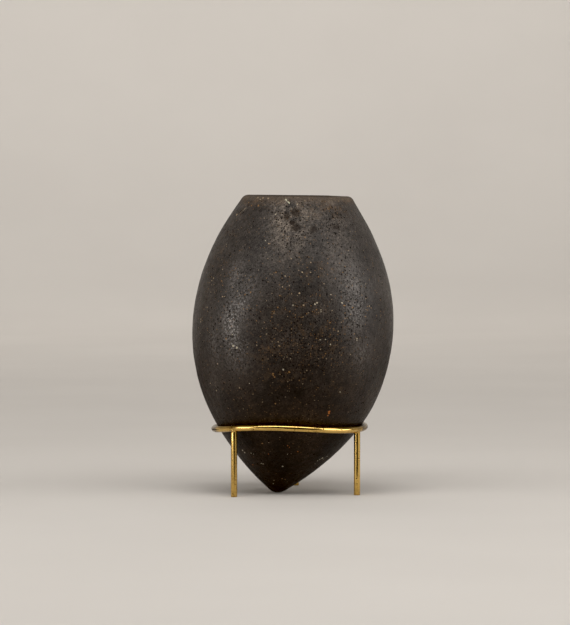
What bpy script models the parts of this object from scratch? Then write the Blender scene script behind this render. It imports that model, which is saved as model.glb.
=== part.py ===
"""A hand-built pottery jar with a pointed base, resting upright in a stand of brass rod.

The jar is hollow. It is turned from one outline that holds its inside, its lip and its outside, and
then made as crooked as its potter left it: the axis leans, the point is off centre and the mouth
slopes a little. The stand is a ring of rod, bent to follow the jar's wall, on three straight legs
brazed under it.

Metres, +Z up. The shelf is at Z = 0, the jar's belly is centred on the Z axis, and the front is
towards -Y. Heights on the jar are measured from its point.
"""

from math import atan2, cos, pi, radians, sin, tan

import bpy
from mathutils import Vector
from mathutils.geometry import interpolate_bezier

# Jar: outside.
JAR_HEIGHT = 0.1508
BELLY_HEIGHT = 0.084
BELLY_RADIUS = 0.0511
RIM_RADIUS = 0.0275  # where the outer wall would meet the plane of the lip
POINT_ROUNDING = 0.0073
RIM_LEAN = radians(26)  # from upright, where the wall meets the lip
POINT_ANGLE = radians(54.7)  # between the axis and the wall beside the point

# Jar: clay and lip.
WALL = 0.006
BASE_THICKNESS = 0.009  # under the hollow, at the point
FLOOR_ROUNDING = 0.004
LIP_OUTER_ROUNDING = 0.004
LIP_INNER_ROUNDING = 0.0012

# Jar: how full its curves are, as shares of the height that each one climbs.
FULLNESS_ABOVE_POINT = 0.24
FULLNESS_BELOW_BELLY = 0.555
FULLNESS_ABOVE_BELLY = 0.535
FULLNESS_BELOW_LIP = 0.06

# Jar: how crooked it is.
AXIS_LEAN = radians(1.7184)  # from upright, to the right
CROOK_HEIGHT = 0.0447  # the axis bends towards the point below this
POINT_SHIFT = Vector((-0.0053, -0.0060))  # to the left and to the front
MOUTH_SHIFT = Vector((0.0004, 0.0))  # to the right, at the lip
MOUTH_SLOPE = radians(0.5157)  # down to the right, across the lip
CROOK_EASE = 2  # powers by which the bend, the shift and the slope grow towards their ends
SHIFT_EASE = 4
SLOPE_EASE = 2

# Stand.
ROD_DIAMETER = 0.003175
ROD_RADIUS = ROD_DIAMETER / 2
RING_HEIGHT = 0.0337
RING_CLEARANCE = 0.0004  # between the rod and the jar
RING_TILT = 0.00065  # how far each bend lifts the ring: one that goes round once,
RING_TWIST = 0.00080  # one that goes round twice,
RING_RIPPLE = 0.00046  # and one that goes round three times
RING_BENDS = (  # waves in a turn, height of the wave, azimuth where its first crest is
    (1, RING_TILT, radians(15.4)),
    (2, RING_TWIST, radians(-13.1)),
    (3, RING_RIPPLE, radians(-15.7)),
)
LEG_AZIMUTHS = {  # from the front, positive to the right
    "leg_front_left": radians(-45.2),
    "leg_front_right": radians(63.4),
    "leg_back": radians(174.7),
}
BRAZED_GAP = 0.0003  # between a leg and the ring
FOOT_CHAMFER = 0.00015
POINT_CLEARANCE = 0.0003  # between the jar's point and the shelf

# Fineness of the meshes.
JAR_SEGMENTS = 48
CURVE_STEPS = 9
ARC_STEPS = 3
RING_POINTS = 72
RING_BEVEL_RESOLUTION = 3
LEG_SIDES = 16
MERGE_DISTANCE = 0.00001
SHARP_ANGLE = radians(50)  # edges that turn more than this are drawn sharp
END_ANGLE = radians(60)  # edges that turn more than this are the ends of a rod


def clear_scene():
    for obj in list(bpy.data.objects):
        bpy.data.objects.remove(obj)


def make_collection(name):
    collection = bpy.data.collections.new(name)
    bpy.context.scene.collection.children.link(collection)
    return collection


def make_material(name, colour, roughness, metallic):
    material = bpy.data.materials.new(name)
    material.use_nodes = True
    shader = material.node_tree.nodes["Principled BSDF"]
    shader.inputs["Base Color"].default_value = (*colour, 1.0)
    shader.inputs["Roughness"].default_value = roughness
    shader.inputs["Metallic"].default_value = metallic
    return material


def arc(centre, radius, start, end, steps):
    """Points of an arc in the outline's plane, from one angle to another, both ends included."""
    turns = (start + (end - start) * i / steps for i in range(steps + 1))
    return [centre + radius * Vector((cos(turn), sin(turn))) for turn in turns]


def bezier(start, start_handle, end_handle, end):
    """Points of a curve in the outline's plane, without its first one."""
    return interpolate_bezier(start, start_handle, end_handle, end, CURVE_STEPS + 1)[1:]


def wall_outline(floor, rounding, belly_radius, lip_start):
    """One side of the wall as (radius, height) points, from the axis up to where the lip begins."""
    tip = arc(Vector((0, floor + rounding)), rounding, -pi / 2, -POINT_ANGLE, ARC_STEPS)
    tip[0].x = 0
    above_point = Vector((sin(POINT_ANGLE), cos(POINT_ANGLE)))
    below_lip = Vector((sin(RIM_LEAN), -cos(RIM_LEAN)))
    belly = Vector((belly_radius, BELLY_HEIGHT))
    climb = BELLY_HEIGHT - tip[-1].y
    lower = bezier(
        tip[-1],
        tip[-1] + above_point * climb * FULLNESS_ABOVE_POINT,
        belly - Vector((0, climb * FULLNESS_BELOW_BELLY)),
        belly,
    )
    climb = lip_start.y - BELLY_HEIGHT
    upper = bezier(
        belly,
        belly + Vector((0, climb * FULLNESS_ABOVE_BELLY)),
        lip_start + below_lip * climb * FULLNESS_BELOW_LIP,
        lip_start,
    )
    return tip + lower + upper


def lip_arcs():
    """The inner and the outer rounding of the lip. Each runs from the inside of the jar outwards."""
    inner_corner = RIM_RADIUS - WALL / cos(RIM_LEAN)
    inner_reach = LIP_INNER_ROUNDING / tan((pi / 2 - RIM_LEAN) / 2)
    outer_reach = LIP_OUTER_ROUNDING / tan((pi / 2 + RIM_LEAN) / 2)
    inner_centre = Vector((inner_corner + inner_reach, JAR_HEIGHT - LIP_INNER_ROUNDING))
    outer_centre = Vector((RIM_RADIUS - outer_reach, JAR_HEIGHT - LIP_OUTER_ROUNDING))
    return (
        arc(inner_centre, LIP_INNER_ROUNDING, pi + RIM_LEAN, pi / 2, ARC_STEPS),
        arc(outer_centre, LIP_OUTER_ROUNDING, pi / 2, RIM_LEAN, ARC_STEPS),
    )


def outside_outline():
    return wall_outline(0, POINT_ROUNDING, BELLY_RADIUS, lip_arcs()[1][-1])


def jar_outline():
    """The whole section of the clay, up the inside, over the lip and down the outside."""
    inner_lip, outer_lip = lip_arcs()
    inside = wall_outline(BASE_THICKNESS, FLOOR_ROUNDING, BELLY_RADIUS - WALL, inner_lip[0])
    return inside[:-1] + inner_lip + outer_lip + outside_outline()[-2::-1]


def outside_wall_at(height):
    """The outside's radius at a height above the point, and its lean from upright there."""
    outline = outside_outline()
    for below, above in zip(outline, outline[1:]):
        if above.y >= height:
            break
    share = (height - below.y) / (above.y - below.y)
    return below.lerp(above, share).x, atan2(above.x - below.x, above.y - below.y)


def nearness_to_lip(height):
    """0 at the belly and below it, 1 at the lip."""
    return max(0.0, (height - BELLY_HEIGHT) / (JAR_HEIGHT - BELLY_HEIGHT))


def axis_at(height):
    """Where the jar's crooked axis runs at a height above the point."""
    lean = Vector((tan(AXIS_LEAN) * (height - BELLY_HEIGHT), 0))
    bend = max(0.0, 1 - height / CROOK_HEIGHT) ** CROOK_EASE
    return lean + POINT_SHIFT * bend + MOUTH_SHIFT * nearness_to_lip(height) ** SHIFT_EASE


def make_crooked(mesh):
    """Moves each level of a straight jar to its axis, and slopes the mouth."""
    for vertex in mesh.vertices:
        height = vertex.co.z
        drop = vertex.co.x * tan(MOUTH_SLOPE) * nearness_to_lip(height) ** SLOPE_EASE
        vertex.co.z -= drop
        vertex.co.xy += axis_at(height)


def baked_mesh(obj):
    """The object's evaluated shape as a new mesh, in place of the object."""
    graph = bpy.context.evaluated_depsgraph_get()
    mesh = bpy.data.meshes.new_from_object(obj.evaluated_get(graph))
    bpy.data.objects.remove(obj)
    return mesh


def make_jar(collection, clay):
    outline = jar_outline()
    profile = bpy.data.meshes.new("jar_profile")
    profile.from_pydata(
        [(point.x, 0, point.y) for point in outline],
        [(i, i + 1) for i in range(len(outline) - 1)],
        [],
    )
    turned = bpy.data.objects.new("jar_turned", profile)
    collection.objects.link(turned)
    screw = turned.modifiers.new("Turn", "SCREW")
    screw.steps = screw.render_steps = JAR_SEGMENTS
    screw.use_merge_vertices = True
    screw.merge_threshold = MERGE_DISTANCE

    mesh = baked_mesh(turned)
    mesh.name = "jar"
    make_crooked(mesh)
    mesh.shade_smooth()
    mesh.set_sharp_from_angle(angle=SHARP_ANGLE)
    mesh.materials.append(clay)
    jar = bpy.data.objects.new("jar", mesh)
    jar.location.z = POINT_CLEARANCE
    collection.objects.link(jar)


def ring_point(azimuth):
    """The centre of the ring's rod at an azimuth: it follows the jar's wall, up and down its bends."""
    height = RING_HEIGHT + sum(
        rise * cos(waves * (azimuth - crest)) for waves, rise, crest in RING_BENDS
    )
    above_point = height - POINT_CLEARANCE
    radius, lean = outside_wall_at(above_point)
    reach = radius + (ROD_RADIUS + RING_CLEARANCE) / cos(lean)
    centre = axis_at(above_point)
    return Vector(
        (centre.x + reach * sin(azimuth), centre.y - reach * cos(azimuth), height)
    )


def make_ring_curve(name, collection, rod_radius):
    curve = bpy.data.curves.new(name, "CURVE")
    curve.dimensions = "3D"
    curve.twist_mode = "Z_UP"
    curve.bevel_depth = rod_radius
    curve.bevel_resolution = RING_BEVEL_RESOLUTION
    spline = curve.splines.new("POLY")
    spline.use_cyclic_u = True
    spline.use_smooth = True
    spline.points.add(RING_POINTS - 1)
    for i, point in enumerate(spline.points):
        point.co = (*ring_point(2 * pi * i / RING_POINTS), 1)
    ring = bpy.data.objects.new(name, curve)
    collection.objects.link(ring)
    return ring


def make_saddle_cutter(cutters):
    """A fatter copy of the ring, which shapes the top of each leg to sit under it."""
    mesh = baked_mesh(make_ring_curve("saddle_curve", cutters, ROD_RADIUS + BRAZED_GAP))
    cutter = bpy.data.objects.new("saddle_cutter", mesh)
    cutter.hide_render = True
    cutter.display_type = "WIRE"
    cutters.objects.link(cutter)
    return cutter


def make_leg(name, collection, azimuth, cutter, brass):
    top = ring_point(azimuth)
    bpy.ops.mesh.primitive_cylinder_add(
        vertices=LEG_SIDES,
        radius=ROD_RADIUS,
        depth=top.z,
        location=(top.x, top.y, top.z / 2),
        rotation=(0, 0, azimuth),
    )
    leg = bpy.context.object
    leg.name = leg.data.name = name
    for owner in list(leg.users_collection):
        owner.objects.unlink(leg)
    collection.objects.link(leg)
    leg.data.shade_smooth()
    leg.data.set_sharp_from_angle(angle=SHARP_ANGLE)
    leg.data.materials.append(brass)

    chamfer = leg.modifiers.new("Foot chamfer", "BEVEL")
    chamfer.width = FOOT_CHAMFER
    chamfer.segments = 1
    chamfer.limit_method = "ANGLE"
    chamfer.angle_limit = END_ANGLE
    saddle = leg.modifiers.new("Saddle under the ring", "BOOLEAN")
    saddle.operation = "DIFFERENCE"
    saddle.object = cutter


def main():
    clear_scene()
    parts = make_collection("pointed_base_jar")
    cutters = make_collection("cutters")
    clay = make_material("burnished_clay", (0.050, 0.040, 0.032), 0.55, 0.0)
    brass = make_material("brass", (0.62, 0.42, 0.16), 0.28, 1.0)

    make_jar(parts, clay)
    ring = make_ring_curve("stand_ring", parts, ROD_RADIUS)
    ring.data.materials.append(brass)
    cutter = make_saddle_cutter(cutters)
    for name, azimuth in LEG_AZIMUTHS.items():
        make_leg(name, parts, azimuth, cutter, brass)


main()
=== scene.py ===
"""The looks of the pointed-base jar and its brass stand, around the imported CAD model.

The jar is a fine mesh on the CAD jar's own outline, with the unevenness, the chips and the spalls of
hand-built, burnished clay. The stand's ring and legs are fine meshes on the CAD rods, joined by
fillets of brazing metal. Lengths are in metres and heights on the jar are measured from its point,
as in the part's source, apart from names that end in _MM.
"""

import math

import bpy
import numpy as np
from mathutils import Euler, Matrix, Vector, noise
from mathutils.geometry import interpolate_bezier


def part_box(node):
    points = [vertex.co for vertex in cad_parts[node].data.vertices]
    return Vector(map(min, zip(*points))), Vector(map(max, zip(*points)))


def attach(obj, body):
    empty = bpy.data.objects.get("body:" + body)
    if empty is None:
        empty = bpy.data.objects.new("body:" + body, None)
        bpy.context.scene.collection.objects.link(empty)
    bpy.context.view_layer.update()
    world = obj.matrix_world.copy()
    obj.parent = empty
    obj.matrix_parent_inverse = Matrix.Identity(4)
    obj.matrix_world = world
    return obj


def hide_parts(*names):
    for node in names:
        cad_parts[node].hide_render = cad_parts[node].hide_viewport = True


MM = 0.001

# Jar, as in the part's source.
JAR_HEIGHT = 0.1508
BELLY_HEIGHT = 0.084
BELLY_RADIUS = 0.0511
RIM_RADIUS = 0.0275
POINT_ROUNDING = 0.0073
RIM_LEAN = math.radians(26)
POINT_ANGLE = math.radians(54.7)
WALL = 0.006
BASE_THICKNESS = 0.009
FLOOR_ROUNDING = 0.004
LIP_OUTER_ROUNDING = 0.004
LIP_INNER_ROUNDING = 0.0012
FULLNESS_ABOVE_POINT = 0.24
FULLNESS_BELOW_BELLY = 0.555
FULLNESS_ABOVE_BELLY = 0.535
FULLNESS_BELOW_LIP = 0.06
AXIS_LEAN = math.radians(1.7184)
CROOK_HEIGHT = 0.0447
POINT_SHIFT = np.array((-0.0053, -0.0060))
MOUTH_SHIFT = np.array((0.0004, 0.0))
MOUTH_SLOPE = math.radians(0.5157)
CROOK_EASE = 2
SHIFT_EASE = 4
SLOPE_EASE = 2
POINT_CLEARANCE = 0.0003

# Stand, as in the part's source.
ROD_RADIUS = 0.003175 / 2
RING_HEIGHT = 0.0337
RING_CLEARANCE = 0.0004
RING_TILT = 0.00065
RING_TWIST = 0.00080
RING_RIPPLE = 0.00046
RING_BENDS = (
    (1, RING_TILT, math.radians(15.4)),
    (2, RING_TWIST, math.radians(-13.1)),
    (3, RING_RIPPLE, math.radians(-15.7)),
)
LEG_AZIMUTHS = {
    "leg_front_left": math.radians(-45.2),
    "leg_front_right": math.radians(63.4),
    "leg_back": math.radians(174.7),
}

# Fineness of the meshes.
JAR_SEGMENTS = 396
OUTSIDE_ROWS = 192
LIP_ROWS = 16
INSIDE_ROWS = 32
CROWDING_NEAR_LIP = 0.45
OUTLINE_STEPS = 80
ARC_STEPS = 16
RING_SEGMENTS = 540
ROD_SIDES = 36
LEG_ROWS = 40
FILLET_ROWS = 6

# Camera, at the photograph's viewing angle.
CAMERA_PLACE = Vector((-0.00397, -1.6652, 0.15087))
CAMERA_PITCH = math.radians(2.044)
CAMERA_LENS_MM = 188.8
SENSOR_MM = 36
CAMERA_SEES_FROM = 0.1
CAMERA_SEES_TO = 20


def outline_arc(centre, radius, start, end):
    turn = np.linspace(start, end, ARC_STEPS + 1)[:, None]
    return np.array(centre) + radius * np.hstack((np.cos(turn), np.sin(turn)))


def outline_bezier(start, start_handle, end_handle, end):
    corners = [Vector(point) for point in (start, start_handle, end_handle, end)]
    return np.array(interpolate_bezier(*corners, OUTLINE_STEPS))[:, :2]


def wall_outline(floor, rounding, belly_radius, lip_start):
    """One side of the wall as (radius, height) points, from the axis up to where the lip begins."""
    tip = outline_arc((0, floor + rounding), rounding, -math.pi / 2, -POINT_ANGLE)
    above_point = np.array((math.sin(POINT_ANGLE), math.cos(POINT_ANGLE)))
    below_lip = np.array((math.sin(RIM_LEAN), -math.cos(RIM_LEAN)))
    belly = np.array((belly_radius, BELLY_HEIGHT))
    upright = np.array((0, 1))
    climb = BELLY_HEIGHT - tip[-1][1]
    lower = outline_bezier(
        tip[-1],
        tip[-1] + above_point * climb * FULLNESS_ABOVE_POINT,
        belly - upright * climb * FULLNESS_BELOW_BELLY,
        belly,
    )
    climb = lip_start[1] - BELLY_HEIGHT
    upper = outline_bezier(
        belly,
        belly + upright * climb * FULLNESS_ABOVE_BELLY,
        lip_start + below_lip * climb * FULLNESS_BELOW_LIP,
        lip_start,
    )
    return np.vstack((tip, lower[1:], upper[1:]))


def lip_arcs():
    """The inner and the outer rounding of the lip, each from the inside of the jar outwards."""
    inner_corner = RIM_RADIUS - WALL / math.cos(RIM_LEAN)
    inner_reach = LIP_INNER_ROUNDING / math.tan((math.pi / 2 - RIM_LEAN) / 2)
    outer_reach = LIP_OUTER_ROUNDING / math.tan((math.pi / 2 + RIM_LEAN) / 2)
    inner_centre = (inner_corner + inner_reach, JAR_HEIGHT - LIP_INNER_ROUNDING)
    outer_centre = (RIM_RADIUS - outer_reach, JAR_HEIGHT - LIP_OUTER_ROUNDING)
    return (
        outline_arc(inner_centre, LIP_INNER_ROUNDING, math.pi + RIM_LEAN, math.pi / 2),
        outline_arc(outer_centre, LIP_OUTER_ROUNDING, math.pi / 2, RIM_LEAN),
    )


def spread(points, rows, crowding=0.0):
    """The same line through other points, evenly spaced or, with crowding, closer towards its end."""
    steps = np.hypot(*np.diff(points, axis=0).T)
    along = np.concatenate(([0], np.cumsum(steps)))
    share = np.linspace(0, 1, rows + 1)
    places = along[-1] * (share * (1 + crowding) - crowding * share**2)
    return np.column_stack([np.interp(places, along, points[:, i]) for i in (0, 1)])


def outside_outline():
    return wall_outline(0, POINT_ROUNDING, BELLY_RADIUS, lip_arcs()[1][-1])


OUTLINE = outside_outline()


def nearness_to_lip(height):
    """0 at the belly and below it, 1 at the lip."""
    return np.maximum(0, (height - BELLY_HEIGHT) / (JAR_HEIGHT - BELLY_HEIGHT))


def axis_at(height):
    """Where the jar's crooked axis runs at heights above the point, as an array of (x, y)."""
    height = np.asarray(height, float)[..., None]
    lean = np.array((math.tan(AXIS_LEAN), 0)) * (height - BELLY_HEIGHT)
    bend = np.maximum(0, 1 - height / CROOK_HEIGHT) ** CROOK_EASE
    return lean + POINT_SHIFT * bend + MOUTH_SHIFT * nearness_to_lip(height) ** SHIFT_EASE


# Unevenness of the clay.
HAND_WAVE_MM = 26
HAND_DEPTH = 0.00028
SCRAPE_WAVE_MM = 7
SCRAPE_DEPTH = 0.00008
GRAIN_WAVE_MM = 2.2
GRAIN_DEPTH = 0.00003
INSIDE_WAVE_MM = 11
INSIDE_DEPTH = 0.00045
COIL_FLATNESS = 0.4
LIP_WAVE_MM = 4.5
LIP_DEPTH = 0.00022
LIP_EASE = 0.004
DULL_LIP_START = 0.1455
DULL_LIP_FADE = 0.0035
# Where the painted shade along the lip's top begins and fades in, and how it weakens away from the front.
PAINTED_LIP_SHADE_START = JAR_HEIGHT - 0.00085
PAINTED_LIP_SHADE_FADE = 0.0002
PATCH_REACH = 40
SPALL_HARDNESS = 5.0
JAG_WAVE_MM = 1.7
JAG = 0.0007
PAINTED_LIP_SHADE_DEG = 52
PAINTED_LIP_SHADE_BEHIND = 0.3
# Painted shade in the hollows: how dark the scratches are painted, and the spall depth at which its painted
# shade is full.
SCRATCH_SHADE = 0.9
SCRATCH_REACH = 1.2
FULLY_SHADED_DEPTH = 0.40
POINT_EASE = 0.006

# Where flakes of the surface are gone: azimuth in degrees, height, half width, half height, depth in mm.
SPALLS = (
    (-8.7, 140.2, 2.0, 1.8, 0.62),
    (-1.4, 142.3, 2.4, 2.1, 0.66),
    (-2.9, 137.2, 2.0, 1.5, 0.34),
    (-0.6, 134.7, 2.5, 1.8, 0.34),
    (13.3, 133.7, 2.1, 2.0, 0.24),
    (6.0, 130.7, 0.9, 0.4, 0.40),
    (30.5, 135.9, 1.0, 0.6, 0.24),
    (32.5, 135.2, 2.6, 1.4, 0.28),
    (-54.0, 145.6, 1.2, 0.7, 0.18),
)
# Azimuth in degrees and height in mm of both ends, half width, depth in mm.
GOUGE = (-12.0, 148.6, -8.0, 146.9, 0.40, 0.35)
SCRATCHES = (
    (-63.5, 140.8, -58.0, 143.4, 0.45, 0.30),
    (-58.5, 140.8, -53.5, 142.2, 0.45, 0.25),
    (8.0, 146.2, 11.5, 146.2, 0.35, 0.20),
    (40.0, 135.4, 43.0, 133.7, 0.35, 0.15),
)
# The pale edge that the scratch threw up: both of its ends, as above, and its radius in mm.
SCRATCH_LIP = (-61.5, 141.3, -55.0, 144.2, 0.34)
WORN_RIM = (88.0, 45.0, 0.00034)  # azimuth and half width in degrees, depth in metres
HOLLOW_UNDER_RIM = (90.0, 143.0, 22.0, 5.5, 0.36)  # as the spalls

# Zones of the surface: azimuth in degrees, height, half width, half height in mm, strength.
# Pale zones: worn, rougher clay, lightened too with a painted highlight from the light above.
WORN_AND_PAINTED_HIGHLIGHT_ZONES = (
    (-13.0, 139.5, 5.0, 8.0, 1.0),
    (-5.0, 133.5, 8.5, 11.5, 1.0),
    (9.0, 141.0, 7.0, 5.5, 0.8),
    (-8.0, 146.5, 7.0, 4.5, 1.0),
    (28.0, 146.5, 8.0, 3.5, 0.4),
    (-9.0, 122.5, 7.0, 7.0, 0.45),
    (28.0, 126.0, 8.0, 12.0, 0.30),
    (33.0, 137.5, 6.0, 5.0, 0.30),
)
# Glossy zones are smoother, and also lightened with a painted sheen where the side softboxes' highlights
# fall.
GLOSSY_AND_PAINTED_SHEEN_ZONES = (
    (-37.5, 86.0, 6.0, 10.0, 0.80),
    (-33.5, 95.0, 5.0, 8.0, 0.75),
    (-27.0, 104.0, 5.5, 9.0, 0.45),
    (-38.0, 110.0, 5.0, 10.0, 0.60),
    (-34.0, 70.0, 8.0, 8.0, 0.35),
    (36.0, 93.0, 7.0, 13.0, 0.62),
    (36.0, 106.0, 7.0, 10.0, 0.60),
    (27.0, 118.0, 6.0, 11.0, 0.32),
    (44.0, 72.0, 7.0, 9.0, 0.40),
    (-51.0, 76.0, 5.5, 11.0, 0.42),
    (-54.0, 58.0, 5.0, 9.0, 0.20),
    (12.0, 86.0, 7.0, 6.0, 0.08),
)
# Painted glints: bright specks of highlight in the left glossy patch and on the right.
PAINTED_GLINT_ZONES = (
    (-37.0, 87.0, 4.5, 10.0, 0.85),
    (-34.0, 76.0, 5.0, 4.0, 0.8),
    (-31.0, 98.0, 4.0, 6.0, 0.5),
    (40.0, 97.0, 3.5, 12.0, 0.30),
)
# Darker patches of the clay; three of them on the point are the painted shadow of the front left leg.
DARK_AND_PAINTED_SHADOW_ZONES = (
    (5.0, 109.0, 11.0, 14.0, 0.36),
    (21.0, 121.0, 6.5, 13.0, 0.26),
    (46.0, 25.0, 9.0, 8.0, 0.68),
    (4.0, 14.0, 16.0, 13.0, 0.30),
    (-4.0, 102.0, 9.0, 16.0, 0.14),
    (10.0, 86.0, 8.0, 7.0, 0.20),
    (-34.0, 129.0, 8.0, 9.0, 0.16),
    # Painted shadow of the front left leg: a diagonal dark band on the point.
    (-40.0, 31.5, 3.0, 3.2, 0.40),
    (-36.0, 27.5, 3.0, 3.2, 0.40),
    (-31.0, 23.5, 2.6, 2.8, 0.30),
    (51.0, 122.0, 4.5, 13.0, 0.18),
)
PITTED_ZONES = (
    (-36.0, 90.0, 8.5, 14.0, 1.0),
    (-31.0, 107.0, 6.5, 9.0, 0.6),
    (-4.0, 135.0, 11.0, 14.0, 1.0),
    (30.0, 137.0, 10.0, 7.0, 1.0),
    (36.0, 98.0, 9.0, 22.0, 1.0),
    (24.0, 126.0, 8.0, 9.0, 0.6),
    (8.0, 80.0, 20.0, 13.0, 1.0),
    (-3.0, 100.0, 13.0, 12.0, 0.5),
)
OCHRE_ZONES = (
    (10.0, 78.0, 20.0, 10.0, 0.8),
    (18.0, 73.0, 7.0, 4.5, 1.0),
    (-15.0, 73.0, 9.0, 5.0, 0.9),
    (4.0, 94.0, 18.0, 10.0, 0.40),
    (-7.0, 61.0, 12.0, 4.0, 0.7),
    (27.0, 145.0, 17.0, 5.0, 1.0),
    (-38.0, 147.5, 16.0, 3.5, 1.0),
    (-60.0, 120.0, 9.0, 16.0, 0.7),
    (10.0, 113.0, 12.0, 8.0, 0.5),
    (31.0, 55.0, 8.0, 5.0, 0.6),
    (2.0, 42.0, 26.0, 7.0, 0.4),
)

# Single inclusions in the clay: azimuth in degrees, height and radius in mm.
PALE_FLECKS = (
    (12.0, 97.0, 0.50),
    (13.2, 97.7, 0.50),
    (21.5, 101.7, 0.36),
    (28.5, 97.5, 0.38),
    (15.5, 94.1, 0.32),
    (15.5, 93.3, 0.32),
    (-0.5, 96.5, 0.34),
    (39.0, 79.5, 0.40),
    (39.0, 78.7, 0.36),
    (15.5, 79.5, 0.38),
    (18.5, 79.5, 0.34),
    (21.5, 77.0, 0.38),
    (-35.5, 76.1, 0.60),
    (-33.0, 75.2, 0.62),
    (-36.0, 81.7, 0.32),
    (-5.0, 64.7, 0.48),
    (-1.0, 70.2, 0.26),
    (-26.0, 57.5, 0.30),
    (32.0, 53.0, 0.30),
    (-13.5, 38.2, 0.30),
    (-22.0, 128.2, 0.36),
    (-18.5, 141.2, 0.34),
    (0.0, 146.2, 0.30),
    (-53.0, 22.2, 0.46),
    (-51.5, 21.2, 0.48),
    (-41.0, 21.2, 0.28),
    (-38.0, 20.9, 0.28),
    (-32.0, 16.1, 0.32),
    (-29.5, 15.8, 0.34),
    (-2.0, 14.7, 0.40),
    (51.0, 18.2, 0.54),
    (48.0, 17.7, 0.40),
    (58.5, 18.9, 0.42),
    (56.0, 17.6, 0.40),
    (46.5, 17.0, 0.32),
    (46.5, 15.6, 0.34),
    (-20.5, 5.2, 0.32),
    (1.5, 21.2, 0.26),
)
TAN_FLECKS = (
    (-65.5, 88.5, 0.50),
    (-65.5, 87.2, 0.46),
    (3.0, 102.5, 0.44),
    (-7.0, 105.5, 0.34),
    (4.5, 112.7, 0.38),
    (5.5, 96.5, 0.38),
    (47.5, 106.5, 0.38),
    (26.0, 83.5, 0.36),
    (-4.5, 71.0, 0.34),
    (-3.0, 71.0, 0.34),
    (-59.5, 56.5, 0.44),
    (-48.5, 66.7, 0.38),
    (-33.5, 55.0, 0.34),
    (-54.5, 53.0, 0.34),
    (-58.5, 109.2, 0.38),
    (-19.0, 126.7, 0.42),
    (-64.5, 140.7, 0.60),
    (-45.0, 149.3, 0.50),
    (-38.0, 149.3, 0.60),
    (-40.5, 148.5, 0.36),
    (-31.5, 149.1, 0.60),
    (-17.5, 27.2, 0.30),
    (-17.0, 7.0, 0.30),
)
OCHRE_FLECKS = (
    (30.0, 96.2, 0.44),
    (35.5, 95.0, 0.44),
    (-1.5, 63.5, 0.48),
    (-11.0, 62.6, 0.46),
    (-10.8, 61.7, 0.40),
    (-10.0, 60.9, 0.36),
    (-10.0, 47.5, 0.46),
    (-39.5, 145.4, 0.60),
    (-56.0, 146.9, 0.42),
    (-48.5, 145.4, 0.46),
    (6.5, 129.9, 0.36),
    (-40.5, 79.5, 0.46),
    (-26.0, 102.7, 0.44),
    (-29.5, 101.5, 0.38),
    (-49.5, 108.0, 0.38),
    (-24.0, 26.7, 0.42),
    (2.0, 8.0, 0.38),
    (9.5, 7.5, 0.40),
)
RUST_FLECKS = (
    (27.5, 43.1, 0.62),
    (27.6, 42.3, 0.60),
    (27.3, 41.1, 0.46),
    (0.0, 25.7, 0.30),
    (2.0, 24.7, 0.30),
    (11.5, 22.5, 0.36),
    (-49.0, 14.9, 0.36),
    (-19.0, 21.2, 0.34),
)


def noise_at(points, wave_mm, seed):
    """Smooth noise between about -1 and 1 at points in metres."""
    shift = Vector((seed * 17.3, seed * 5.1, seed * 11.7))
    scale = 1 / (wave_mm * MM)
    return np.array([noise.noise(Vector(p) * scale + shift) for p in points])


def patch(azimuths, heights, radii, azimuth, height, half_width, half_height, hardness=2.0):
    """A soft oval patch on the wall: 1 in its middle and 0 outside. Azimuth in degrees, sizes in mm."""
    turn = (np.degrees(azimuths) - azimuth + 180) % 360 - 180
    across = np.radians(turn) * radii / MM / half_width
    up = (heights / MM - height) / half_height
    reach = across**2 + up**2
    return np.exp(-np.minimum(reach, PATCH_REACH) ** (hardness / 2))


def scratch(azimuths, heights, radii, start_azimuth, start_height, end_azimuth, end_height, half_width):
    """1 along the middle of a scratch and 0 away from it. Angles in degrees, heights and width in mm."""
    turn = (np.degrees(azimuths) - (start_azimuth + end_azimuth) / 2 + 180) % 360 - 180
    across = np.radians(turn) * radii / MM
    up = heights / MM - (start_height + end_height) / 2
    run = math.radians(end_azimuth - start_azimuth) * radii / MM
    rise = end_height - start_height
    length = np.hypot(run, rise)
    along = (across * run + up * rise) / length
    beside = (across * rise - up * run) / length
    fade = np.sqrt(np.clip(SCRATCH_REACH - np.abs(along) / (length / 2), 0, 1))
    return np.exp(-((beside / half_width) ** 2)) * fade


def zone(turn, height, radius, patches):
    """The strongest of several soft patches at each place."""
    return np.maximum.reduce(
        [strength * patch(turn, height, radius, *oval) for *oval, strength in patches]
    )


def grid_mesh(name, places, closed_ends, joined_rows=False):
    """A mesh from rows of points that each go once round. A closed end is a fan of triangles to a point,
    and joined rows go round too, so that the last one meets the first."""
    rows, columns = places.shape[:2]
    index = np.arange(rows * columns).reshape(rows, columns)
    low, high = index[:-1], index[1:]
    if joined_rows:
        low, high = index, np.roll(index, -1, 0)
    quads = np.stack((low, np.roll(low, -1, 1), np.roll(high, -1, 1), high), -1).reshape(-1, 4)
    faces = quads.tolist()
    vertices = places.reshape(-1, 3).tolist()
    first, last = index[0].tolist(), index[-1][::-1].tolist()
    for end, row in zip(closed_ends, (first, last)):
        if end is not None:
            vertices.append(end)
            faces += [(row[i], row[i - 1], len(vertices) - 1) for i in range(columns)]
    mesh = bpy.data.meshes.new(name)
    mesh.from_pydata(vertices, [], faces)
    mesh.validate()
    mesh.shade_smooth()
    return mesh


def add_attribute(mesh, name, values):
    """Gives each point of the mesh a number that its material reads."""
    layer = mesh.attributes.new(name, "FLOAT", "POINT")
    filled = np.zeros(len(mesh.vertices), np.float32)
    filled[: len(values)] = values
    layer.data.foreach_set("value", filled)


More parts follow.
